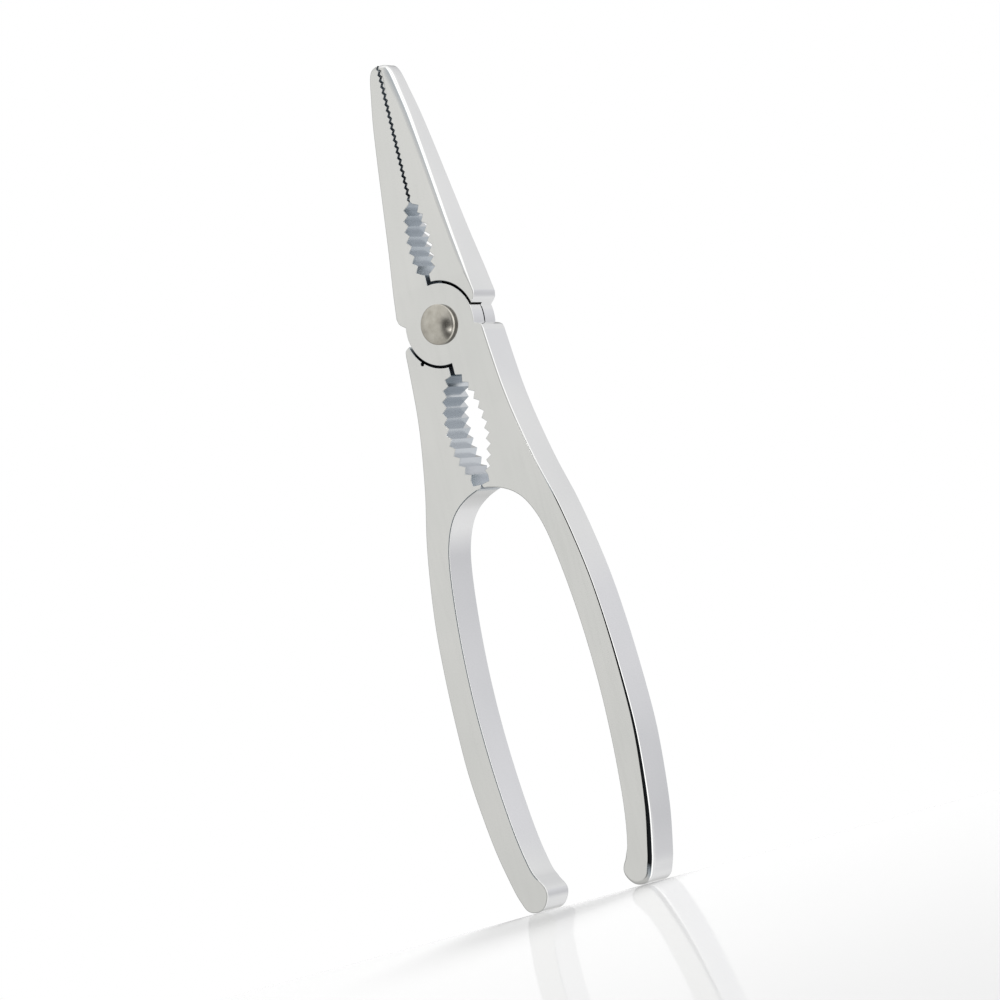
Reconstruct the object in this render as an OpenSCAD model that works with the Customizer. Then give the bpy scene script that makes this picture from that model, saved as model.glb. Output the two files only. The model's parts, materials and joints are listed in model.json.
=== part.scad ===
// Nutcracker in the form of long-nosed pliers: two cast levers of one shape cross in a
// half-thickness lap joint and turn on one domed rivet.
// X runs to the right, Y away from the viewer, Z up. The tool stands on its two handle ends.

/* [Overall] */
// Length of the jaws, from the pivot to the tip
jaw_length = 60; // [60:0.5:61]
// Length of the handles, from the pivot to the foot
handle_length = 130; // [130:0.5:132]
// Full thickness of a lever at the pivot and in the handle
thickness = 8.7; // [7:0.1:10]
// Thickness of a jaw at its tip
tip_thickness = 4.5; // [3:0.1:6]

/* [Pivot] */
// Radius of the half-thickness discs that lap over each other
disc_radius = 9.1; // [9:0.05:9.2]
// Radial gap between a disc and the arc cut into the other lever
disc_gap = 0.55; // [0.5:0.05:0.8]
// Gap between the two lapped faces
lap_gap = 0.1; // [0.04:0.02:0.3]
// Radius of the rivet's shank
shank_radius = 3; // [2.5:0.1:3.5]
// Radial running clearance of the rear lever on the shank
running_clearance = 0.05; // [0.02:0.01:0.1]
// Radius of the rivet's front head
head_radius = 4.5; // [4.2:0.1:5]
// Height of the front head's straight edge above the front disc
head_edge = 0.9; // [0.4:0.1:1.5]
// Height of the front head's crown above its edge
head_crown = 0.6; // [0.4:0.1:1.5]
// Radius of the closed rear head
rear_head_radius = 4.2; // [4:0.1:4.6]
// Height of the closed rear head above the rear disc
rear_head_height = 0.9; // [0.6:0.1:1.2]

/* [Teeth] */
// Number of grooves along each side of the nut opening, below the pivot
nut_grooves = 10; // [8:1:11]
// Number of grooves along each side of the small opening between the jaws
jaw_grooves = 7; // [5:1:8]
// Number of fine notches along each jaw's closing line
fine_notches = 23; // [15:1:26]
// Depth of the grooves in both openings
groove_depth = 1.15; // [0.6:0.05:1.3]
// Depth of the fine notches
notch_depth = 0.5; // [0.2:0.05:0.5]

/* [Hidden] */
$fn = 96;
half = thickness / 2;
clear_radius = disc_radius + disc_gap;
closing_gap = 0.1;   // from the middle plane to the crests of the fine notches
slot_gap = 0.55;     // from the middle plane to the levers' edges beside the pivot
nick_radius = 0.45;  // small half-round nick in the arc wall under the pivot
taper_start = 9.5;   // height above the pivot at which the jaws start to thin
curve_steps = 8;     // straight steps in each span of a smooth outline
metal = "gainsboro";
rivet_metal = "tan";

function reverse(points) = [for (i = [len(points) - 1 : -1 : 0]) points[i]];
function but_first(points) = [for (i = [1 : len(points) - 1]) points[i]];

// Smooth curve through points: a Catmull-Rom spline that keeps its first and last point.
function at(points, i) = points[max(0, min(len(points) - 1, i))];
function blend(a, b, c, d, t) =
    0.5 * (2 * b + (c - a) * t + (2 * a - 5 * b + 4 * c - d) * t * t + (3 * b - a - 3 * c + d) * t * t * t);
function smooth(points, steps = curve_steps) = concat(
    [for (i = [0 : len(points) - 2], s = [0 : steps - 1])
        blend(at(points, i - 1), at(points, i), at(points, i + 1), at(points, i + 2), s / steps)],
    [points[len(points) - 1]]);

// Saw-tooth row on an arc: grooves lie on groove_radius, the crests between them on a smaller one.
function tooth_row(centre, groove_radius, first_angle, last_angle, count) =
    let (step = (last_angle - first_angle) / (count - 1))
    [for (i = [0 : 2 * count])
        let (r = i % 2 == 1 ? groove_radius : groove_radius - groove_depth,
             a = first_angle + (i - 1) / 2 * step)
        [centre[0] + r * cos(a), centre[1] + r * sin(a)]];

// One side of a jaw or handle, drawn for x > 0 with the pivot at the origin.
jaw_outer = [[10.8, 4.4], [9.65, 12.3], [8.6, 19.5], [7.65, 27], [6.8, 33.8], [5.95, 40.4], [4.9, 47.8],
    [3.75, jaw_length - 6.3], [3.05, jaw_length - 3], [2.45, jaw_length - 1.3],
    [1.6, jaw_length - 0.35], [closing_gap, jaw_length]];
jaw_shoulder = [[slot_gap, 0], [8.2, 1.25], [9.05, 1.95], [10.05, 2.75], [10.5, 3.3]];
handle_outer = [[10.8, -4], [11.3, -11], [11.95, -18], [13.1, -25.2], [15.2, -35], [17.9, -44.8], [19.9, -54.5],
    [21.4, -64.5], [22.3, -76], [22.7, -88], [22.65, -97], [21.9, -106], [20.6, -115.5],
    [18.6, -124.1], [17.6, 3 - handle_length]];
handle_foot = [[17.6, 3 - handle_length], [16.7, 1.15 - handle_length], [15.3, 0.2 - handle_length],
    [13.6, -handle_length], [12, 0.5 - handle_length], [10.8, 1.8 - handle_length],
    [10.2, 3.4 - handle_length], [10.45, 5 - handle_length], [11.7, 7 - handle_length]];
handle_inner = [[11.7, 7 - handle_length], [12.9, -120.5], [14.4, -113], [15.5, -102.5], [16.1, -92],
    [16.2, -82], [15.8, -72], [14.9, -62], [13.6, -52.9], [12.2, -47.4], [10.1, -43.1], [7.6, -40.4],
    [4.5, -38.65], [1.5, -37.7]];
nose = [[0.5, -37.5], [0.12, -37.1], [0.15, -36.6], [2.2, -36.4], [2.3, -35]];
handle_shoulder = [[10.55, -3.1], [10, -2.7], [9.3, -2.35], [8.2, -1.9], [slot_gap, 0]];

nut_row = tooth_row([-16.3, -23.75], 21.9, -26, 32, nut_grooves);
jaw_row = tooth_row([-24.75, 18.7], 28, -12.5, 17, jaw_grooves);
fine_start = 28.2;
fine_pitch = (jaw_length - fine_start) / fine_notches;

// Fine notches on every other half pitch, the odd ones or the even ones, so that two jaws interlock.
function fine_row(odd) = [for (i = [1 : 2 * fine_notches])
    [closing_gap + (i % 2 == odd && i < 2 * fine_notches ? notch_depth : 0), jaw_length - i / 2 * fine_pitch]];

module jaw_side(odd) {
    polygon(concat(jaw_shoulder, smooth(jaw_outer), fine_row(odd), reverse(jaw_row), [[slot_gap, 11.5]]));
}

module handle_side() {
    polygon(concat([[slot_gap, -11.4]], reverse(nut_row), reverse(nose), reverse(smooth(handle_inner)),
        but_first(reverse(smooth(handle_foot))), but_first(reverse(smooth(handle_outer))),
        handle_shoulder));
}

// Turns an outline drawn in X and Z into a plate between two depths.
module plate(front, back) {
    translate([0, back, 0]) rotate([90, 0, 0]) linear_extrude(back - front) children();
}

// Side view of a lever: full thickness up to taper_start, then thinner towards the jaw's tip.
module thickness_envelope() {
    tip = tip_thickness / 2;
    translate([-30, 0, 0]) rotate([90, 0, 90]) linear_extrude(60)
        polygon([[-half, -handle_length - 1], [half, -handle_length - 1], [half, taper_start],
            [tip, jaw_length], [tip, jaw_length + 1], [-tip, jaw_length + 1], [-tip, jaw_length],
            [-half, taper_start]]);
}

// One casting with its jaw on the left, its half disc in front and its handle on the right.
module lever(bore_radius, odd) {
    difference() {
        intersection() {
            union() {
                plate(-half, half) {
                    mirror([1, 0]) jaw_side(odd);
                    handle_side();
                }
                plate(-half, -lap_gap / 2) circle(disc_radius);
            }
            thickness_envelope();
        }
        plate(-lap_gap / 2, half + 1) circle(clear_radius);
        plate(-lap_gap / 2, half + 1) rotate(-45) translate([clear_radius + 0.3, 0]) circle(nick_radius);
        plate(-half - 1, half + 1) circle(bore_radius);
    }
}

module at_pivot() {
    translate([0, 0, handle_length]) children();
}

module front_lever() {
    color(metal) at_pivot() lever(shank_radius, 1);
}

module rear_lever() {
    color(metal) at_pivot() rotate([0, 0, 180]) lever(shank_radius + running_clearance, 0);
}

// Radius of the sphere whose cap has this base radius and height.
function cap_sphere(base, height) = (base * base + height * height) / (2 * height);

// Profile of the rivet from its axis outwards, the front head at the top.
module rivet_profile() {
    crown_radius = cap_sphere(head_radius, head_crown);
    rear_radius = cap_sphere(rear_head_radius, rear_head_height);
    translate([0, -half - rear_head_height / 2])
        square([shank_radius, thickness + rear_head_height / 2 + head_edge]);
    intersection() {
        translate([0, half]) square([head_radius, head_edge + head_crown]);
        translate([0, half + head_edge + head_crown - crown_radius]) circle(crown_radius);
    }
    intersection() {
        translate([0, -half - rear_head_height]) square([rear_head_radius, rear_head_height]);
        translate([0, -half - rear_head_height + rear_radius]) circle(rear_radius);
    }
}

module pivot_rivet() {
    color(rivet_metal) at_pivot() rotate([90, 0, 0]) rotate_extrude() rivet_profile();
}

front_lever();
rear_lever();
pivot_rivet();
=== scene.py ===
"""Looks of the long-nosed nutcracker: two plated castings and a domed rivet on a pale studio floor.

Outlines are in millimetres with the pivot at the origin, X to the right and Z up, and match the CAD solids.
"""

import json
import math
from collections import namedtuple

import bmesh
import bpy
from mathutils import Matrix, Vector


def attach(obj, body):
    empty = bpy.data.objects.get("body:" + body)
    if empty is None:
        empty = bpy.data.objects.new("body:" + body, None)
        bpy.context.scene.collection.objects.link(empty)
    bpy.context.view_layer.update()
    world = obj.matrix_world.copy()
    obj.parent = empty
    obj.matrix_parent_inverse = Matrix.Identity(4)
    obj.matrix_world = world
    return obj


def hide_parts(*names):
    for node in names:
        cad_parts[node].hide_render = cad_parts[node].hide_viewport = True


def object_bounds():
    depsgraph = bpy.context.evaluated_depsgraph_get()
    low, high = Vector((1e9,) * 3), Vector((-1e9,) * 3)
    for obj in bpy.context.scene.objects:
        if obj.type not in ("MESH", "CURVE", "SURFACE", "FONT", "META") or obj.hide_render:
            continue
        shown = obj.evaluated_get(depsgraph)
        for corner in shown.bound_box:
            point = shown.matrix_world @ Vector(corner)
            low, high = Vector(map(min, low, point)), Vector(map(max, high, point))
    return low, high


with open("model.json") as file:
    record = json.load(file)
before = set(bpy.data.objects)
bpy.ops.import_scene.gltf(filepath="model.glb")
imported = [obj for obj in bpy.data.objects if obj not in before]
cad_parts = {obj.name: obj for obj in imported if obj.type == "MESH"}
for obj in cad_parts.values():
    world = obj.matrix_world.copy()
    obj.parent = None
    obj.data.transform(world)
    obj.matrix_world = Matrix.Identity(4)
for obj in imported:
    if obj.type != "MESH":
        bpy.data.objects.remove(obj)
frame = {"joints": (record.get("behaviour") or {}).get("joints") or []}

cad_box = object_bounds()

# ---------------------------------------------------------------- sizes, in millimetres
MM = 0.001
JAW_LENGTH = 60.0
HANDLE_LENGTH = 130.0
THICKNESS = 8.7
TIP_THICKNESS = 4.5
DISC_RADIUS = 9.1
CLEAR_RADIUS = 9.65
LAP_GAP = 0.1
SHANK_RADIUS = 3.0
BORE_RADIUS = 3.05
CLOSING_GAP = 0.1
SLOT_GAP = 0.55
TAPER_START = 9.5
GROOVE_DEPTH = 1.15
NOTCH_DEPTH = 0.5
NICK_RADIUS = 0.45
NICK_REACH = CLEAR_RADIUS + 0.3   # from the pivot to the nick's middle
NICK_ANGLE = -45
PRESS_SLACK = 0.01   # keeps the two surfaces of the press fit apart
HALF = THICKNESS / 2
TINY = 1e-6

# The rivet's heads
HEAD_RADIUS = 4.5
HEAD_FLANK = 0.9
HEAD_CROWN = 0.6
HEAD_ROUNDING = 0.35
REAR_RADIUS = 4.2
REAR_HEIGHT = 0.9
REAR_FOOT = 0.1   # how far the rear head's foot stands out from its cap

# Numbers of straight steps
STEPS = 10       # in each span of a smooth outline
RIM_STEPS = 6    # across each rounded edge
LAP_STEPS = 2    # across the small edges at the lapped faces
ARC_STEPS = 40   # in each arc of the disc and of the clearance round it
BORE_SIDES = 64
RIVET_SIDES = 96
CAP_STEPS = 14   # from the rim of a rivet head to its pole

# Radii of the rounded edges, and how dark the painted reflection lines along them are
JAW_EDGE = 0.3
JAW_BACK_EDGE = 1.35
JAW_BACK_STRETCH = 0.9
HANDLE_EDGE = 0.3
FOOT_EDGE = 1.32
TOE_EDGE = 0.4
TOOTH_EDGE = 0.14
NOTCH_EDGE = 0.08
JAW_REFLECTION_LINE = 0.3
INNER_REFLECTION_LINE = 0.8
SLOT_EDGE = 0.14
PIVOT_EDGE = 0.16
LAP_EDGE = 0.16
NICK_EDGE = 0.1
SOFTEN_REACH = 1.2   # run of outline over which the radii are evened out

# Painted shade in the grooves, slots, recesses and gaps between the parts, from 0 for none to 1 for almost
# black; the plating is also a little rougher there
FINE_PAINTED_SHADE = 0.5
JAW_ROW_PAINTED_SHADE = 0.36
NUT_ROW_PAINTED_SHADE = 0.4
NUT_ROW_FADE = 0.2
NOSE_PAINTED_SHADE = 0.5
SLOT_PAINTED_SHADE = 0.72
DISC_PAINTED_SHADE = 0.8
NICK_PAINTED_SHADE = 0.4
CLEARANCE_PAINTED_SHADE = 1
LAP_PAINTED_SHADE = 0.9
DOWNWARD_PAINTED_SHADE = 0.75   # how much more painted shade a wall gets for facing down

# A point of an outline: its place, how far the rounded edge reaches in from the wall, how many times further
# it reaches along the wall, how much painted shade its walls get, the radius of the edge at the lapped face,
# and how dark the painted reflection line along the rounded edge is.
Point = namedtuple("Point", "x z edge stretch dull lap shade", defaults=(1.0, 0.0, 0.0, 0.0))

PIVOT = Vector(frame["joints"][0]["pos_m"])


# ---------------------------------------------------------------- outlines
def smooth(points):
    """Catmull-Rom curve through the points."""
    curve = []
    last = len(points) - 1
    for i in range(last):
        around = [points[max(0, min(last, j))] for j in (i - 1, i, i + 1, i + 2)]
        for k in range(STEPS):
            t = k / STEPS
            curve.append(tuple(
                0.5 * (2 * q + (r - p) * t + (2 * p - 5 * q + 4 * r - s) * t ** 2
                       + (3 * q - p - 3 * r + s) * t ** 3)
                for p, q, r, s in zip(*around)))
    curve.append(tuple(points[-1]))
    return curve


def tooth_row(centre, groove_radius, first_angle, last_angle, count):
    """Grooves on an arc of groove_radius, with crests between them on a smaller one."""
    step = (last_angle - first_angle) / (count - 1)
    row = []
    for i in range(2 * count + 1):
        radius = groove_radius if i % 2 else groove_radius - GROOVE_DEPTH
        angle = math.radians(first_angle + (i - 1) / 2 * step)
        row.append((centre[0] + radius * math.cos(angle), centre[1] + radius * math.sin(angle)))
    return row


def arc(radius, start, end, count):
    """Points on a circle about the pivot, angles in degrees."""
    angles = [math.radians(start + (end - start) * i / count) for i in range(count + 1)]
    return [(radius * math.cos(a), radius * math.sin(a)) for a in angles]


def edged(points, edge, dull=0.0, lap=0.0):
    """Turns the places of an outline into points with these edges."""
    return [Point(x, z, edge, 1.0, dull, lap) for x, z in points]


def share(value, start, end):
    """How far a value is from start to end, kept between 0 and 1."""
    return max(0.0, min(1.0, (value - start) / (end - start)))


def mirrored(path):
    """The same path on the other side of the pivot, run through backward."""
    return [p._replace(x=-p.x) for p in reversed(path)]


JAW_OUTER = [(10.8, 4.4), (9.65, 12.3), (8.6, 19.5), (7.65, 27), (6.8, 33.8), (5.95, 40.4), (4.9, 47.8),
             (3.75, JAW_LENGTH - 6.3), (3.05, JAW_LENGTH - 3), (2.45, JAW_LENGTH - 1.3),
             (1.6, JAW_LENGTH - 0.35), (CLOSING_GAP, JAW_LENGTH)]
JAW_SHOULDER = [(SLOT_GAP, 0), (8.2, 1.25), (9.05, 1.95), (10.05, 2.75), (10.5, 3.3)]
HANDLE_OUTER = [(10.8, -4), (11.3, -11), (11.95, -18), (13.1, -25.2), (15.2, -35), (17.9, -44.8),
                (19.9, -54.5), (21.4, -64.5), (22.3, -76), (22.7, -88), (22.65, -97), (21.9, -106),
                (20.6, -115.5), (18.6, -124.1), (17.6, 3 - HANDLE_LENGTH)]
HANDLE_FOOT = [(17.6, 3 - HANDLE_LENGTH), (16.7, 1.15 - HANDLE_LENGTH), (15.3, 0.2 - HANDLE_LENGTH),
               (13.6, -HANDLE_LENGTH), (12, 0.5 - HANDLE_LENGTH), (10.8, 1.8 - HANDLE_LENGTH),
               (10.2, 3.4 - HANDLE_LENGTH), (10.45, 5 - HANDLE_LENGTH), (11.7, 7 - HANDLE_LENGTH)]
HANDLE_INNER = [(11.7, 7 - HANDLE_LENGTH), (12.9, -120.5), (14.4, -113), (15.5, -102.5), (16.1, -92),
                (16.2, -82), (15.8, -72), (14.9, -62), (13.6, -52.9), (12.2, -47.4), (10.1, -43.1),
                (7.6, -40.4), (4.5, -38.65), (1.5, -37.7)]
NOSE = [(0.5, -37.5), (0.12, -37.1), (0.15, -36.6), (2.2, -36.4), (2.3, -35)]
HANDLE_SHOULDER = [(10.55, -3.1), (10, -2.7), (9.3, -2.35), (8.2, -1.9), (SLOT_GAP, 0)]
NUT_ROW = tooth_row((-16.3, -23.75), 21.9, -26, 32, 10)
JAW_ROW = tooth_row((-24.75, 18.7), 28, -12.5, 17, 7)
FINE_NOTCHES = 23
FINE_START = 28.2   # height of the lowest fine notch


def fine_row(odd):
    """Fine notches on the odd or the even half pitches, from the tip down to the small opening."""
    pitch = (JAW_LENGTH - FINE_START) / FINE_NOTCHES
    row = []
    for i in range(1, 2 * FINE_NOTCHES + 1):
        notch = i % 2 == odd and i < 2 * FINE_NOTCHES
        row.append((CLOSING_GAP + (NOTCH_DEPTH if notch else 0), JAW_LENGTH - i / 2 * pitch))
    return row


def jaw_edge(point, back):
    """Edge of a jaw's outer wall, crisp in front and well rounded behind."""
    x, z = point
    if not back:
        return Point(x, z, JAW_EDGE)
    # The rounding starts above the shoulder, grows toward the tip, and halves over the last of it.
    tip = share(z, JAW_LENGTH - 1.6, JAW_LENGTH - 0.2)
    base = share(z, 6, 12) * (0.6 + 0.4 * share(z, 12, 42) + 0.35 * share(z, 42, 56))
    # A painted reflection line darkens the rounded edge as it grows, and is gone at the tip.
    return Point(x, z, JAW_EDGE + (JAW_BACK_EDGE - JAW_EDGE) * base * (1 - 0.5 * tip),
                 1 + (JAW_BACK_STRETCH - 1) * min(1, base) * (1 - tip), shade=JAW_REFLECTION_LINE * base * (1 - tip))


def jaw_path(odd, back=False):
    """Right-hand jaw, from the shoulder up its outer edge, round the tip and down its teeth."""
    return (edged(JAW_SHOULDER, PIVOT_EDGE) + [jaw_edge(p, back) for p in smooth(JAW_OUTER)]
            + edged(fine_row(odd), NOTCH_EDGE, FINE_PAINTED_SHADE)
            + edged(reversed(JAW_ROW), TOOTH_EDGE, JAW_ROW_PAINTED_SHADE)
            + edged([(SLOT_GAP, 11.5), (SLOT_GAP, 0)], SLOT_EDGE, SLOT_PAINTED_SHADE))


def nut_row():
    """Grooves of the nut opening, with the most painted shade next to the pivot."""
    return [p._replace(dull=NUT_ROW_PAINTED_SHADE - NUT_ROW_FADE * share(p.z, -11, -35))
            for p in edged(NUT_ROW, TOOTH_EDGE)]


def handle_edge(point, back):
    """Edge of a handle's outer wall and foot, more and more rounded in front toward the foot."""
    x, z = point
    if back:
        return Point(x, z, HANDLE_EDGE)
    outer = HANDLE_EDGE + (FOOT_EDGE - HANDLE_EDGE) * share(z, -60, -122) ** 1.6
    toe_to_heel = share(x, 10.2, 16.5) ** 0.5
    # In front, a painted reflection line darkens the rounded edge where the handle reaches out past 15.5 mm,
    # darkest past 18 mm.
    return Point(x, z, TOE_EDGE + (outer - TOE_EDGE) * toe_to_heel, shade=share(x, 15.5, 18))


def handle_path(back=False):
    """Right-hand handle, from the slot down the nut opening, round the arch and foot, up to the shoulder."""
    foot_top = HANDLE_FOOT[0][1] + 0.01
    outer = [handle_edge(p, back) for p in smooth(HANDLE_OUTER) if p[1] > foot_top]
    foot = [handle_edge(p, back) for p in smooth(HANDLE_FOOT)]
    # Behind, the inner edge gets a painted reflection line.
    inner = [Point(*p, HANDLE_EDGE, shade=INNER_REFLECTION_LINE if back else 0) for p in smooth(HANDLE_INNER)]
    return (edged([(SLOT_GAP, 0), (SLOT_GAP, -11.4)], SLOT_EDGE, SLOT_PAINTED_SHADE) + nut_row()[::-1]
            + edged(reversed(NOSE), TOOTH_EDGE, NOSE_PAINTED_SHADE) + inner[::-1]
            + foot[-2::-1] + outer[::-1] + edged(HANDLE_SHOULDER, PIVOT_EDGE))


def crossing(p, q, radius):
    """Point of the segment p-q that lies on a circle about the pivot."""
    lo, hi = 0.0, 1.0
    inside = math.hypot(p[0], p[1]) < radius
    for _ in range(50):
        mid = (lo + hi) / 2
        x, z = (p[k] + (q[k] - p[k]) * mid for k in (0, 1))
        if (math.hypot(x, z) < radius) == inside:
            lo = mid
        else:
            hi = mid
    return Point(x, z, PIVOT_EDGE, dull=max(p.dull, q.dull))


def split_at(path, radius):
    """Adds the points where a path crosses the circle, and says which are the first and last of them."""
    out, marks = [path[0]], []
    for p, q in zip(path, path[1:]):
        if (math.hypot(p[0], p[1]) < radius) != (math.hypot(q[0], q[1]) < radius):
            marks.append(len(out))
            out.append(crossing(p, q, radius))
        out.append(q)
    return out, marks[0], marks[-1]


def trimmed(path, radius):
    """The part of a path outside the circle."""
    out, first, last = split_at(path, radius)
    return out[first:last + 1]


def angle_of(point):
    """Direction of a point from the pivot, in degrees."""
    return math.degrees(math.atan2(point[1], point[0]))


def disc_arc(radius, start, end):
    """Counter-clockwise arc between two points, without its ends, with painted shade inside the clearance
    gap.
    """
    a, b = angle_of(start), angle_of(end)
    b += 360 if b < a else 0
    points = edged(arc(radius, a, b, ARC_STEPS)[1:-1], PIVOT_EDGE, 0.0, LAP_EDGE)
    return [p._replace(dull=DISC_PAINTED_SHADE * share(abs(p.z), 3.6, 5)) for p in points]


def nicked_arc(start, end):
    """Clockwise clearance arc with a small half-round nick in it."""
    a, b = angle_of(start), angle_of(end)
    half_angle = math.degrees(math.acos(
        (CLEAR_RADIUS ** 2 + NICK_REACH ** 2 - NICK_RADIUS ** 2) / (2 * CLEAR_RADIUS * NICK_REACH)))
    turn = math.degrees(math.acos(
        (NICK_RADIUS ** 2 + NICK_REACH ** 2 - CLEAR_RADIUS ** 2) / (2 * NICK_RADIUS * NICK_REACH)))
    middle = Vector((math.cos(math.radians(NICK_ANGLE)), math.sin(math.radians(NICK_ANGLE)))) * NICK_REACH
    nick = []
    nick_steps = 12
    for i in range(nick_steps + 1):
        direction = math.radians(NICK_ANGLE + 180 - turn - (360 - 2 * turn) * i / nick_steps)
        nick.append((middle[0] + NICK_RADIUS * math.cos(direction),
                     middle[1] + NICK_RADIUS * math.sin(direction)))
    before = arc(CLEAR_RADIUS, a, NICK_ANGLE + half_angle, 14)[1:-1]
    after = arc(CLEAR_RADIUS, NICK_ANGLE - half_angle, b, 16)[1:-1]
    # Painted shade on the clearance arc's walls, lighter in the nick.
    return (edged(before, PIVOT_EDGE, CLEARANCE_PAINTED_SHADE) + edged(nick, NICK_EDGE, NICK_PAINTED_SHADE)
            + edged(after, PIVOT_EDGE, CLEARANCE_PAINTED_SHADE))


def crease(loop):
    """Adds points where the loop crosses the height at which the jaw starts to thin."""
    out = []
    for p, q in zip(loop, loop[1:] + loop[:1]):
        out.append(p)
        crosses = (p.z < TAPER_START - TINY) != (q.z < TAPER_START - TINY)
        if crosses and abs(q.z - TAPER_START) > TINY:
            t = (TAPER_START - p.z) / (q.z - p.z)
            out.append(p._replace(x=p.x + (q.x - p.x) * t, z=TAPER_START))
    return out


def soften(loop):
    """Evens out the edge radii along the loop, so that none changes in a step."""
    most = 1.6   # no radius grows by more than this factor
    count = len(loop)
    out = []
    for i, point in enumerate(loop):
        total = stretch = weight = 0.0
        for sign in (1, -1):
            j, run = i, 0.0
            while run < SOFTEN_REACH:
                w = 1 - run / SOFTEN_REACH
                total += w * loop[j].edge
                stretch += w * loop[j].stretch
                weight += w
                k = (j + sign) % count
                run += math.hypot(loop[k].x - loop[j].x, loop[k].z - loop[j].z)
                j = k
        out.append(point._replace(edge=min(total / weight, point.edge * most), stretch=stretch / weight))
    return out


# ---------------------------------------------------------------- the castings
def face_depth(z):
    """Half the lever's thickness at a height above the pivot."""
    if z <= TAPER_START:
        return HALF
    return HALF - (HALF - TIP_THICKNESS / 2) * (z - TAPER_START) / (JAW_LENGTH - TAPER_START)


def inward(loop):
    """Mitred inward direction at each point of a counter-clockwise loop."""
    sharpest = 0.35   # limits how far a mitre may reach
    out = []
    for i, point in enumerate(loop):
        a, b = loop[i - 1], loop[(i + 1) % len(loop)]
        n1 = Vector((a.z - point.z, point.x - a.x)).normalized()
        n2 = Vector((point.z - b.z, b.x - point.x)).normalized()
        out.append((n1 + n2) / max(sharpest, 1 + n1.dot(n2)))
    return out


def rim(bm, loop, side, lap):
    """Wall and rounded edges of a plate. side is -1 in front and 1 behind. Returns the face's border."""
    directions = inward(loop)
    rings = []
    for k in range(LAP_STEPS + 1):
        turn = math.pi / 2 * k / LAP_STEPS
        rings.append([
            bm.verts.new((p.x + d[0] * p.lap * (1 - math.sin(turn)),
                          lap + side * p.lap * (1 - math.cos(turn)),
                          p.z + d[1] * p.lap * (1 - math.sin(turn)))) for p, d in zip(loop, directions)])
    for k in range(RIM_STEPS + 1):
        turn = math.pi / 2 * k / RIM_STEPS
        ring = []
        for p, d in zip(loop, directions):
            step = p.edge * (1 - math.cos(turn))
            depth = face_depth(p.z) - p.edge * p.stretch * (1 - math.sin(turn))
            ring.append(bm.verts.new((p.x + d[0] * step, side * depth, p.z + d[1] * step)))
        rings.append(ring)
    # Painted shade on the walls of grooves, slots and gaps, fading across the rounded edge toward the face
    # and stronger where a wall faces down.
    dull = bm.faces.layers.float["dull"]
    line_start = LAP_STEPS + RIM_STEPS / 2
    for k, (low, high) in enumerate(zip(rings, rings[1:])):
        fade = 1 - max(0, k - LAP_STEPS) / RIM_STEPS
        for i in range(len(loop)):
            j = (i + 1) % len(loop)
            wall = bm.faces.new((low[i], low[j], high[j], high[i]))
            facing_down = (loop[j].x - loop[i].x) / max(1e-9, math.dist(loop[i][:2], loop[j][:2]))
            wall[dull] = (loop[i].dull + loop[j].dull) / 2 * fade * (1 + DOWNWARD_PAINTED_SHADE * facing_down)
            # Painted reflection: a dark line on the half of the rounded edge next to the face, fading toward
            # the face.
            if k > line_start:
                shade = (loop[i].shade + loop[j].shade) / 2
                wall[dull] = max(wall[dull], shade ** (1 + 0.7 * (k - line_start - 1)))
            # Painted shade: the small edges at the lapped face, between the two castings, are almost black.
            if k < LAP_STEPS and loop[i].lap and loop[j].lap:
                wall[dull] = LAP_PAINTED_SHADE
    return rings[-1]


def creased_faces(bm, loop, border):
    """Fills a plate's face in two flat parts, above and below the height where the jaw starts to thin."""
    cuts = [i for i, p in enumerate(loop) if abs(p.z - TAPER_START) < TINY]
    if len(cuts) != 2:
        return [border]
    i, j = cuts
    first, second = border[i:j + 1], border[j:] + border[:i + 1]
    return sorted((first, second), key=lambda part: max(v.co.z for v in part))


def ring_between(ring, start, end):
    """Vertices of a ring from one index up to another, past the end if need be."""
    count = len(ring)
    span = (end - start) % count
    return [ring[(start + k) % count] for k in range(span + 1)]


def face_with_bore(bm, outline, bore):
    """Fills a face round the bore with two polygons that meet left and right of it."""
    def nearest(ring, side):
        """Index of the vertex on that side that is closest to the pivot's height."""
        wrong_side = 1e3
        return min(range(len(ring)),
                   key=lambda i: abs(ring[i].co.z) + (0 if ring[i].co.x * side > 0 else wrong_side))
    left, right = nearest(outline, -1), nearest(outline, 1)
    bore_left, bore_right = nearest(bore, -1), nearest(bore, 1)
    return [bm.faces.new(ring_between(outline, a, b) + ring_between(bore, c, d)[::-1])
            for a, b, c, d in ((left, right, bore_left, bore_right), (right, left, bore_right, bore_left))]


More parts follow.
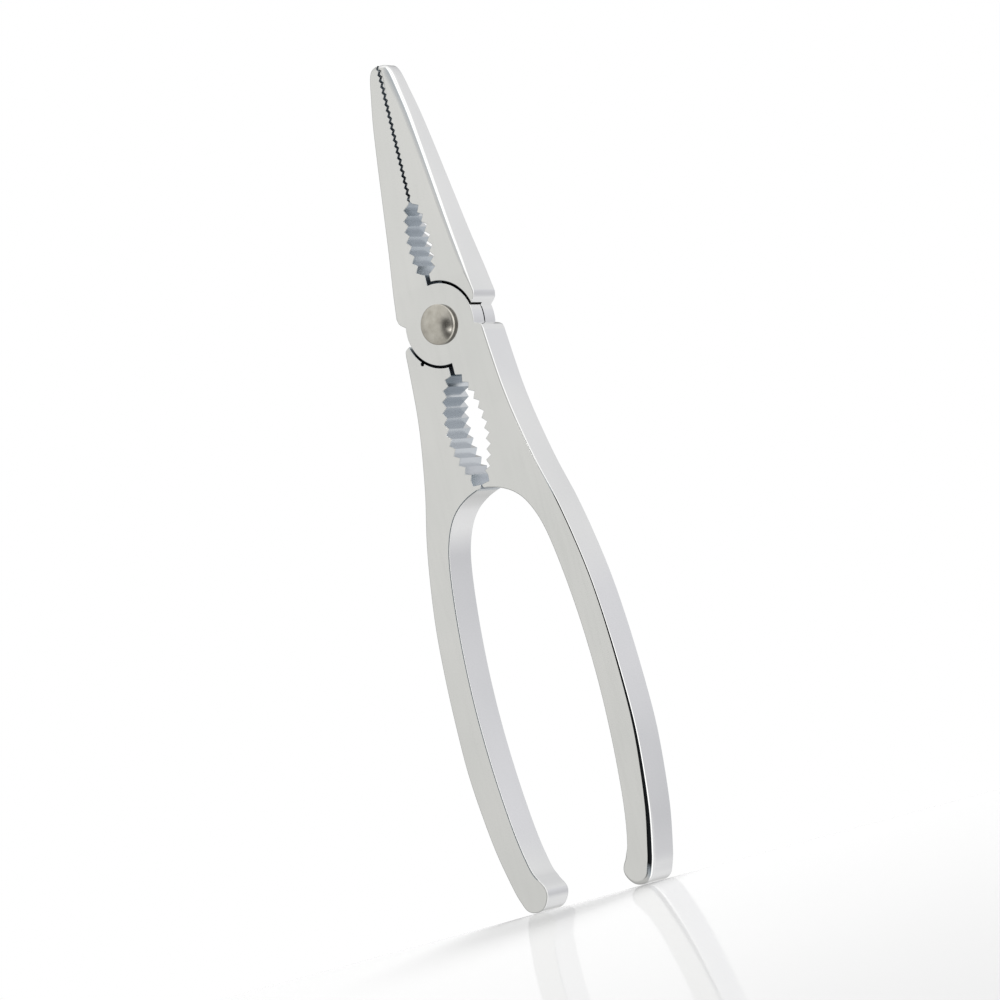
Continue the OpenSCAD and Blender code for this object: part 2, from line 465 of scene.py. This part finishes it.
def casting(bore_radius, odd):
    """One lever with its jaw on the left, its half disc in front and its handle on the right."""
    own_jaw = trimmed(mirrored(split_at(jaw_path(odd), CLEAR_RADIUS)[0]), DISC_RADIUS)
    own_handle = trimmed(split_at(handle_path(), CLEAR_RADIUS)[0], DISC_RADIUS)
    rear_jaw = trimmed(mirrored(jaw_path(odd, True)), CLEAR_RADIUS)
    rear_handle = trimmed(handle_path(True), CLEAR_RADIUS)
    front = own_jaw + disc_arc(DISC_RADIUS, own_jaw[-1], own_handle[0])
    front += own_handle + disc_arc(DISC_RADIUS, own_handle[-1], own_jaw[0])
    jaw_arc = list(reversed(disc_arc(CLEAR_RADIUS, rear_jaw[0], rear_jaw[-1])))
    handle_arc = nicked_arc(rear_handle[-1], rear_handle[0])
    front, rear_jaw, rear_handle = (
        soften(crease(loop)) for loop in (front, rear_jaw + jaw_arc, rear_handle + handle_arc))

    bm = bmesh.new()
    dull = bm.faces.layers.float.new("dull")
    lap = -LAP_GAP / 2
    border = rim(bm, front, -1, lap)
    bore_rings = [
        [bm.verts.new((bore_radius * math.cos(a), y, bore_radius * math.sin(a)))
         for a in (2 * math.pi * i / BORE_SIDES for i in range(BORE_SIDES))] for y in (-HALF, lap)]
    for i in range(BORE_SIDES):
        j = (i + 1) % BORE_SIDES
        bm.faces.new((bore_rings[0][i], bore_rings[0][j], bore_rings[1][j], bore_rings[1][i]))
    lower, upper = creased_faces(bm, front, border)
    bm.faces.new(upper)
    face_with_bore(bm, lower, bore_rings[0])
    for loop in (rear_jaw, rear_handle):
        for part in creased_faces(bm, loop, rim(bm, loop, 1, lap)):
            bm.faces.new(part)
    bmesh.ops.remove_doubles(bm, verts=bm.verts, dist=1e-5)
    bore, outline = sorted(open_loops(bm), key=lambda ring: max(v.co.xz.length for v in ring))
    # Painted shade: the lapped faces, where the two castings meet, are painted almost black.
    for lapped in face_with_bore(bm, outline, bore):
        lapped[dull] = 1
    bmesh.ops.recalc_face_normals(bm, faces=bm.faces)
    for vert in bm.verts:
        vert.co *= MM
    return bm


def open_loops(bm):
    """Open borders of the mesh as counter-clockwise rings of vertices."""
    left = {e for e in bm.edges if e.is_boundary}
    rings = []
    while left:
        edge = left.pop()
        ring = list(edge.verts)
        while True:
            edge = next((e for e in ring[-1].link_edges if e in left), None)
            if edge is None:
                break
            left.remove(edge)
            ring.append(edge.other_vert(ring[-1]))
        ring = ring[:-1] if ring[-1] is ring[0] else ring
        area = sum(a.co.x * b.co.z - b.co.x * a.co.z for a, b in zip(ring, ring[1:] + ring[:1]))
        rings.append(ring if area > 0 else ring[::-1])
    return rings


def finish_mesh(name, bm, material, sharp=35):
    """Turns a bmesh into a smooth-shaded object whose flat faces stay flat."""
    mesh = bpy.data.meshes.new(name)
    bm.to_mesh(mesh)
    bm.free()
    mesh.materials.append(material)
    mesh.shade_smooth()
    mesh.set_sharp_from_angle(angle=math.radians(sharp))
    piece = bpy.data.objects.new(name, mesh)
    bpy.context.scene.collection.objects.link(piece)
    weighted = piece.modifiers.new("flat_faces", "WEIGHTED_NORMAL")
    weighted.keep_sharp = True
    weighted.weight = 100   # the largest faces decide the shading
    return piece


def lever(name, bore_radius, rear, material):
    """A casting at its place; the rear one is turned half a turn about the upright axis."""
    bm = casting(bore_radius, 0 if rear else 1)
    if rear:
        bmesh.ops.rotate(bm, verts=bm.verts, cent=(0, 0, 0), matrix=Matrix.Rotation(math.pi, 3, "Z"))
    bmesh.ops.translate(bm, verts=bm.verts, vec=PIVOT)
    return finish_mesh(name, bm, material)


# ---------------------------------------------------------------- the rivet
def cap(base, height, top):
    """Points of a shallow spherical cap from rim to pole, as (radius, distance from the middle plane)."""
    sphere = (base * base + height * height) / (2 * height)
    widest = math.asin(base / sphere)
    return [(sphere * math.sin(widest * (1 - i / CAP_STEPS)),
             top - sphere + sphere * math.cos(widest * (1 - i / CAP_STEPS))) for i in range(CAP_STEPS + 1)]


def rivet(material):
    """The rivet turned about its axis: domed head in front, shank, and closed head behind."""
    slope = math.asin(2 * HEAD_RADIUS * HEAD_CROWN / (HEAD_RADIUS * HEAD_RADIUS + HEAD_CROWN * HEAD_CROWN))
    corner_steps = 6
    corner = [(HEAD_RADIUS - HEAD_ROUNDING + HEAD_ROUNDING * math.cos(a),
               HALF + HEAD_FLANK - HEAD_ROUNDING * 0.75 + HEAD_ROUNDING * math.sin(a))
              for a in ((math.pi / 2 - slope) * i / corner_steps for i in range(corner_steps + 1))]
    crown_points = [p for p in cap(HEAD_RADIUS, HEAD_CROWN, HALF + HEAD_FLANK + HEAD_CROWN)
                    if p[0] < corner[-1][0] - 0.05]
    front = [(HEAD_RADIUS - 0.06, HALF), (HEAD_RADIUS, HALF + 0.06)] + corner + crown_points
    back = cap(REAR_RADIUS - REAR_FOOT, REAR_HEIGHT, HALF + REAR_HEIGHT)
    profile = [(r, -y) for r, y in reversed(front)] + [(SHANK_RADIUS, -HALF), (SHANK_RADIUS, HALF)]
    profile += [(REAR_RADIUS, HALF)] + back[1:]
    bm = bmesh.new()
    dull = bm.faces.layers.float.new("dull")
    rings = []
    for radius, y in profile:
        if radius < TINY:
            rings.append([bm.verts.new((0, y, 0))])
            continue
        rings.append([bm.verts.new((radius * math.cos(a), y, radius * math.sin(a)))
                      for a in (2 * math.pi * i / RIVET_SIDES for i in range(RIVET_SIDES))])
    for low, high in zip(rings, rings[1:]):
        for i in range(RIVET_SIDES):
            j = (i + 1) % RIVET_SIDES
            quad = [low[i % len(low)], low[j % len(low)], high[j % len(high)], high[i % len(high)]]
            face = bm.faces.new(list(dict.fromkeys(quad)))
            middle = face.calc_center_median()
            # Painted shade: the head's flank darkens toward its foot, where it meets the lever.
            on_flank = middle.xz.length > HEAD_RADIUS - 0.1
            face[dull] = 1 - share(-middle.y, HALF + 0.25, HALF + 0.55) if on_flank else 0.0
    bmesh.ops.recalc_face_normals(bm, faces=bm.faces)
    for vert in bm.verts:
        vert.co = vert.co * MM + PIVOT
    return finish_mesh("rivet_body", bm, material, 40)


# ---------------------------------------------------------------- materials
def new_material(name):
    """A new material, its node tree and its shader."""
    material = bpy.data.materials.new(name)
    material.use_nodes = True
    tree = material.node_tree
    return material, tree, tree.nodes["Principled BSDF"]


def add(tree, kind, inputs=(), **settings):
    """Adds a node, sets its properties, and sets or links its inputs."""
    node = tree.nodes.new(kind)
    for key, value in settings.items():
        setattr(node, key, value)
    for key, value in dict(inputs).items():
        if isinstance(value, bpy.types.NodeSocket):
            tree.links.new(value, node.inputs[key])
        else:
            node.inputs[key].default_value = value
    return node


def ramp(tree, factor, stops):
    """Colour by position along the stops, each a position and its colour."""
    node = add(tree, "ShaderNodeValToRGB", {"Fac": factor})
    elements = node.color_ramp.elements
    while len(elements) < len(stops):
        elements.new(0.5)
    for element, (position, colour) in zip(elements, stops):
        element.position = position
        element.color = (*colour, 1)
    return node.outputs["Color"]


def plated_casting():
    """Bright plating over a cast and ground surface, rougher and with painted shade in the grooves, darkest
    in narrow gaps, and with painted dark reflection lines along some rounded edges.
    """
    material, tree, shader = new_material("plated_casting")
    place = add(tree, "ShaderNodeTexCoord").outputs["Object"]
    drag_space = add(tree, "ShaderNodeMapping", {"Vector": place, "Scale": (900, 900, 60)})
    drag_space = drag_space.outputs["Vector"]
    drag = add(tree, "ShaderNodeTexNoise", {"Vector": drag_space, "Scale": 1.0, "Detail": 3.0}).outputs["Fac"]
    cloud = add(tree, "ShaderNodeTexNoise", {"Vector": place, "Scale": 55.0, "Detail": 2.0}).outputs["Fac"]
    pores = add(tree, "ShaderNodeTexNoise", {"Vector": place, "Scale": 2600.0, "Detail": 2.0}).outputs["Fac"]
    dull = add(tree, "ShaderNodeAttribute", attribute_name="dull").outputs["Fac"]
    tint = ramp(tree, cloud, [(0.3, (0.88, 0.885, 0.87)), (0.7, (0.92, 0.92, 0.905))])
    # Painted shade and painted reflection lines: the face attribute darkens the plating toward almost black.
    darkening = ramp(tree, dull, [(0.0, (1, 1, 1)), (0.35, (0.77, 0.81, 0.85)),
                                  (0.62, (0.52, 0.58, 0.64)), (0.9, (0.02, 0.022, 0.025))])
    colour = add(tree, "ShaderNodeMix", {"A": tint, "B": darkening}, data_type="RGBA", blend_type="MULTIPLY")
    colour.inputs["Factor"].default_value = 1.0
    rough = ramp(tree, drag, [(0.3, (0.10, 0.10, 0.10)), (0.75, (0.19, 0.19, 0.19))])
    rougher = add(tree, "ShaderNodeMath", {0: dull, 1: 0.25, 2: rough}, operation="MULTIPLY_ADD")
    soft = add(tree, "ShaderNodeBump", {"Height": cloud, "Strength": 0.25, "Distance": 0.0004})
    fine = add(tree, "ShaderNodeBump", {"Height": drag, "Strength": 0.10, "Distance": 0.00004,
                                        "Normal": soft.outputs["Normal"]})
    grain = add(tree, "ShaderNodeBump", {"Height": pores, "Strength": 0.06, "Distance": 0.00003,
                                         "Normal": fine.outputs["Normal"]})
    tree.links.new(colour.outputs["Result"], shader.inputs["Base Color"])
    tree.links.new(rougher.outputs[0], shader.inputs["Roughness"])
    tree.links.new(grain.outputs["Normal"], shader.inputs["Normal"])
    shader.inputs["Metallic"].default_value = 1.0
    return material


def rivet_metal():
    """Warm nickel with darker stains in it, slightly uneven, with painted shade at the foot of the head's
    flank.
    """
    material, tree, shader = new_material("rivet_metal")
    place = add(tree, "ShaderNodeTexCoord").outputs["Object"]
    stain = add(tree, "ShaderNodeTexNoise", {"Vector": place, "Scale": 520.0, "Detail": 5.0}).outputs["Fac"]
    wave = add(tree, "ShaderNodeTexNoise", {"Vector": place, "Scale": 260.0, "Detail": 1.0}).outputs["Fac"]
    tint = ramp(tree, stain, [(0.34, (0.58, 0.55, 0.49)), (0.66, (0.74, 0.71, 0.64))])
    rough = ramp(tree, stain, [(0.3, (0.17, 0.17, 0.17)), (0.8, (0.24, 0.24, 0.24))])
    bump = add(tree, "ShaderNodeBump", {"Height": wave, "Strength": 0.25, "Distance": 0.0003})
    dull = add(tree, "ShaderNodeAttribute", attribute_name="dull").outputs["Fac"]
    # Painted shade: the face attribute mixes the nickel toward near black at the foot of the flank.
    colour = add(tree, "ShaderNodeMix", {"Factor": dull, "A": tint, "B": (0.05, 0.045, 0.04, 1)},
                 data_type="RGBA")
    tree.links.new(colour.outputs["Result"], shader.inputs["Base Color"])
    tree.links.new(rough, shader.inputs["Roughness"])
    tree.links.new(bump.outputs["Normal"], shader.inputs["Normal"])
    shader.inputs["Metallic"].default_value = 1.0
    return material


def floor_material():
    """Pale matt surface under a thin glossy coat, which mirrors the feet faintly."""
    material, tree, shader = new_material("pale_floor")
    place = add(tree, "ShaderNodeTexCoord").outputs["Object"]
    cloud = add(tree, "ShaderNodeTexNoise", {"Vector": place, "Scale": 4.0}).outputs["Fac"]
    tree.links.new(ramp(tree, cloud, [(0.0, (0.60, 0.60, 0.60)), (1.0, (0.62, 0.62, 0.62))]),
                   shader.inputs["Base Color"])
    shader.inputs["Roughness"].default_value = 0.6
    shader.inputs["Specular IOR Level"].default_value = 0.1
    shader.inputs["Coat Weight"].default_value = 0.4
    shader.inputs["Coat Roughness"].default_value = 0.06
    return material


# ---------------------------------------------------------------- stage, light and camera
def floor():
    """Pale floor, highest under the feet and falling away gently in front and behind."""
    width, reach = 0.7, 0.5   # half its width and half its depth, in metres
    slope, crest = 0.11, 0.012   # how steeply it falls, and how far from the middle it starts to
    half_steps = 60   # rows on each side of the crest, closest together near it
    bm = bmesh.new()
    rows = []
    for i in range(2 * half_steps + 1):
        y = reach * (i / half_steps - 1) ** 3
        z = cad_box[0][2] - slope * (math.hypot(y, crest) - crest)
        rows.append([bm.verts.new((x, y, z)) for x in (-width, width)])
    for a, b in zip(rows, rows[1:]):
        bm.faces.new((a[0], a[1], b[1], b[0]))
    mesh = bpy.data.meshes.new("floor")
    bm.to_mesh(mesh)
    bm.free()
    mesh.materials.append(floor_material())
    mesh.shade_smooth()
    plane = bpy.data.objects.new("floor", mesh)
    bpy.context.scene.collection.objects.link(plane)
    plane.visible_glossy = False


# The studio's walls in a high, a level and a low band: direction in degrees from the front toward the right,
# brightness, and how much bluer than grey. The level band has a dark gap from -21 to -9 for the rivet's dark
# patch, a white stretch from -156 to -138 for the floor to mirror, and all have a bright screen on the right.
HIGH_WALLS = [
    (-180, 0.64, 1.03), (-150, 0.34, 1), (-75, 0.36, 1), (-50, 0.66, 0.98), (-28, 0.72, 0.98),
    (0, 0.60, 1), (46, 0.60, 1), (52, 1.25, 1), (82, 1.25, 1), (86, 0.80, 1.02), (94, 0.80, 1.02),
    (98, 1.25, 1), (112, 1.25, 1), (127, 0.84, 1.02), (150, 0.77, 1.02), (180, 0.64, 1.03)]
LEVEL_WALLS = [
    (-180, 0.62, 1.04), (-161, 0.40, 1), (-156, 1.0, 1), (-138, 1.0, 1), (-133, 0.34, 1), (-75, 0.34, 1),
    (-50, 0.655, 0.98), (-27, 0.70, 0.98), (-21, 0.02, 1), (-9, 0.02, 1), (-5, 0.60, 1), (50, 0.58, 1),
    (56, 1.6, 1), (82, 1.6, 1), (86, 0.75, 1.04), (150, 0.71, 1.05), (180, 0.62, 1.04)]
LOW_WALLS = [
    (-180, 0.90, 1.02), (-150, 0.60, 1), (-110, 0.42, 1), (-50, 0.56, 0.98), (-27, 0.58, 0.98),
    (0, 0.60, 1), (46, 0.70, 1), (52, 1.4, 1), (82, 1.4, 1), (86, 0.90, 1.03), (150, 0.95, 1.02),
    (180, 0.90, 1.02)]


def wall_colour(tree, turn, stops):
    """Colour of one band of the walls by the direction round the room."""
    return ramp(tree, turn, [((a + 180) / 360, (v, v, v * tint)) for a, v, tint in stops])


def between(tree, value, start, end, **limits):
    """0 to 1, or between the limits given, as the value goes from start to end."""
    inputs = {"Value": value, "From Min": start, "From Max": end}
    inputs.update({key.replace("_", " "): limit for key, limit in limits.items()})
    return add(tree, "ShaderNodeMapRange", inputs).outputs["Result"]


def studio():
    """A soft studio seen by direction in the metal and the floor; the camera itself sees plain white."""
    world = bpy.data.worlds.new("studio")
    bpy.context.scene.world = world
    world.use_nodes = True
    tree = world.node_tree
    way = add(tree, "ShaderNodeTexCoord").outputs["Generated"]
    parts = add(tree, "ShaderNodeSeparateXYZ", {"Vector": way})
    rise = parts.outputs["Z"]
    front = add(tree, "ShaderNodeMath", {0: parts.outputs["Y"], 1: -1.0}, operation="MULTIPLY").outputs[0]
    angle = add(tree, "ShaderNodeMath", {0: parts.outputs["X"], 1: front}, operation="ARCTAN2").outputs[0]
    turn = between(tree, angle, -math.pi, math.pi)
    high, level, low = (wall_colour(tree, turn, stops) for stops in (HIGH_WALLS, LEVEL_WALLS, LOW_WALLS))
    walls = add(tree, "ShaderNodeMix", {"Factor": between(tree, rise, 0.19, 0.28), "A": level, "B": high},
                data_type="RGBA")
    walls = add(tree, "ShaderNodeMix",
                {"Factor": between(tree, rise, -0.20, -0.42), "A": walls.outputs["Result"], "B": low},
                data_type="RGBA")
    gain = between(tree, rise, -0.15, 0.15, To_Min=0.86, To_Max=1.02)
    walls = add(tree, "ShaderNodeVectorMath", {0: walls.outputs["Result"], "Scale": gain}, operation="SCALE")
    room = add(tree, "ShaderNodeMix", {"Factor": between(tree, rise, 0.75, 0.92),
                                       "A": walls.outputs["Vector"], "B": (1.0, 1.0, 1.0, 1)},
               data_type="RGBA")
    seen = add(tree, "ShaderNodeLightPath").outputs["Is Camera Ray"]
    light = add(tree, "ShaderNodeBackground", {"Color": room.outputs["Result"], "Strength": 1.0})
    paper = add(tree, "ShaderNodeBackground", {"Color": (1, 1, 1, 1), "Strength": 1.0})
    both = add(tree, "ShaderNodeMixShader", {0: seen, 1: light.outputs[0], 2: paper.outputs[0]})
    tree.links.new(both.outputs[0], tree.nodes["World Output"].inputs["Surface"])


def area_light(name, where, target, size, power, mirrored_in_metal):
    """A round lamp that the camera doesn't see, aimed at the target."""
    data = bpy.data.lights.new(name, "AREA")
    data.shape = "DISK"
    data.size = size
    data.energy = power
    lamp = bpy.data.objects.new(name, data)
    lamp.location = where
    lamp.rotation_euler = (Vector(target) - Vector(where)).to_track_quat("-Z", "Y").to_euler()
    lamp.visible_camera = False
    lamp.visible_glossy = mirrored_in_metal
    bpy.context.scene.collection.objects.link(lamp)


# Fitted to the photograph's outline: yaw, pitch and roll in degrees, and the camera's place from the pivot
# to the right, down and away, in millimetres
CAMERA_ANGLES = (32.937, -6.337, -14.649)
CAMERA_PLACE = (10.93, 38.81, 920.0)
SENSOR_WIDTH = 36.0
LENS = 149.96


def camera():
    """Long lens from the right of the front, a little below the pivot, leaning as the photograph leans."""
    yaw, pitch, roll = (math.radians(a) for a in CAMERA_ANGLES)
    aside, down, away = CAMERA_PLACE
    back = Vector((math.sin(yaw) * math.cos(pitch), -math.cos(yaw) * math.cos(pitch), math.sin(pitch)))
    level = Vector((math.cos(yaw), math.sin(yaw), 0))
    up = back.cross(level)
    right = level * math.cos(roll) + up * math.sin(roll)
    above = up * math.cos(roll) - level * math.sin(roll)
    place = PIVOT + (right * aside - above * down + back * away) * MM
    data = bpy.data.cameras.new("camera")
    data.sensor_width = SENSOR_WIDTH
    data.lens = LENS
    eye = bpy.data.objects.new("camera", data)
    eye.matrix_world = Matrix.Translation(place) @ Matrix((right, above, back)).transposed().to_4x4()
    bpy.context.scene.collection.objects.link(eye)
    bpy.context.scene.camera = eye


# ---------------------------------------------------------------- build
casting_look = plated_casting()
rivet_look = rivet_metal()
for body, bore, rear in (("front_lever", SHANK_RADIUS + PRESS_SLACK, False),
                         ("rear_lever", BORE_RADIUS, True)):
    piece = lever(body + "_casting", bore, rear, casting_look)
    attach(piece, body)
    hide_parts(body)

pin = rivet(rivet_look)
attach(pin, "front_lever")
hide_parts("pivot_rivet")

floor()
studio()
area_light("key", where=(-0.04, 0.44, 1.8), target=(0, 0, 0), size=0.6, power=35, mirrored_in_metal=False)
area_light("rivet_glint", where=PIVOT + Vector((-0.020, -0.117, -0.010)), target=PIVOT, size=0.004,
           power=0.0010, mirrored_in_metal=True)
camera()
bpy.context.scene.view_settings.view_transform = "Standard"
